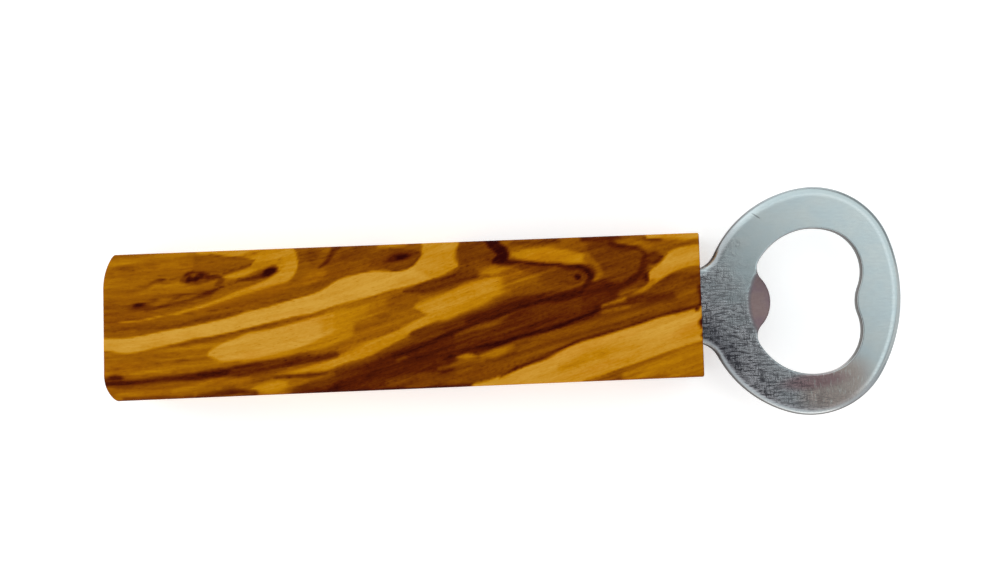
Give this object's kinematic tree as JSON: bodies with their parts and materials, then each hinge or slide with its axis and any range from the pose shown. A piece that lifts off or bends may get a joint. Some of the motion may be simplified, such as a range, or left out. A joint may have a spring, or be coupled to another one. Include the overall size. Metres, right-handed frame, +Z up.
{
  "type": "bottle opener",
  "caption": "Flat bottle opener: a rectangular olive wood handle with a stamped steel ring whose bent tongue hooks under a crown cap.",
  "frame": {"origin": "on the resting plane, below the centre of the whole opener's bounding box", "axes": "+X along the opener from the handle's butt to the ring's nose, +Z up out of the handle's broad face"},
  "size_m": [0.1506, 0.0434, 0.018],
  "materials": {
    "olive_wood": "olive wood with swirling brown and golden figure, sanded smooth and oiled to a soft sheen",
    "plated_steel": "stamped sheet steel, zinc plated with a faint blue passivation, finely brushed and tumbled",
    "epoxy": "cured amber epoxy, glossy where it shows at the mouth of the mortise"
  },
  "bodies": {
    "root": {"handle": "olive_wood", "opener_head": "plated_steel", "adhesive": "epoxy"}
  },
  "joints": []
}
